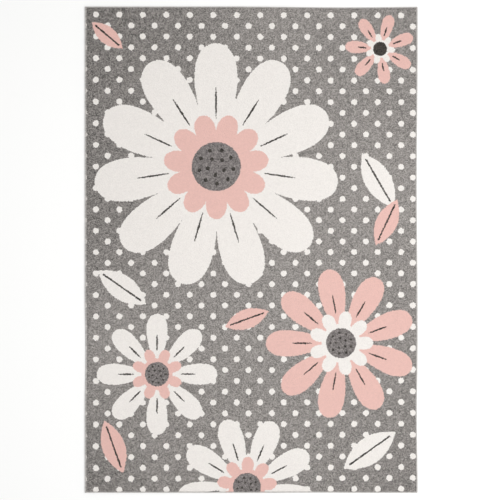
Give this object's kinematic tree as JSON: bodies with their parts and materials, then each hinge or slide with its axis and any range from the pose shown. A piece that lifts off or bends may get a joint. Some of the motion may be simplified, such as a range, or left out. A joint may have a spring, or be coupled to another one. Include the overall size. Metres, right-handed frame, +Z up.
{
  "type": "kids rug",
  "caption": "Flat short-pile kids rug, oblong, with serged yarn edges, polka dots and a large flower design; lies on a floor.",
  "frame": {"origin": "middle of the rug's underside, on the floor that it lies on", "axes": "+X across the rug's width, +Y along its length towards the top of its design, +Z up out of the pile"},
  "size_m": [1.575, 2.3, 0.012],
  "materials": {
    "pile": "short cut pile, matt, heathered grey with cream, pink and charcoal",
    "serging_yarn": "light grey overlocked yarn, matt"
  },
  "bodies": {
    "root": {"rug_body": "pile", "left_serging": "serging_yarn", "right_serging": "serging_yarn", "top_serging": "serging_yarn", "bottom_serging": "serging_yarn"}
  },
  "joints": []
}
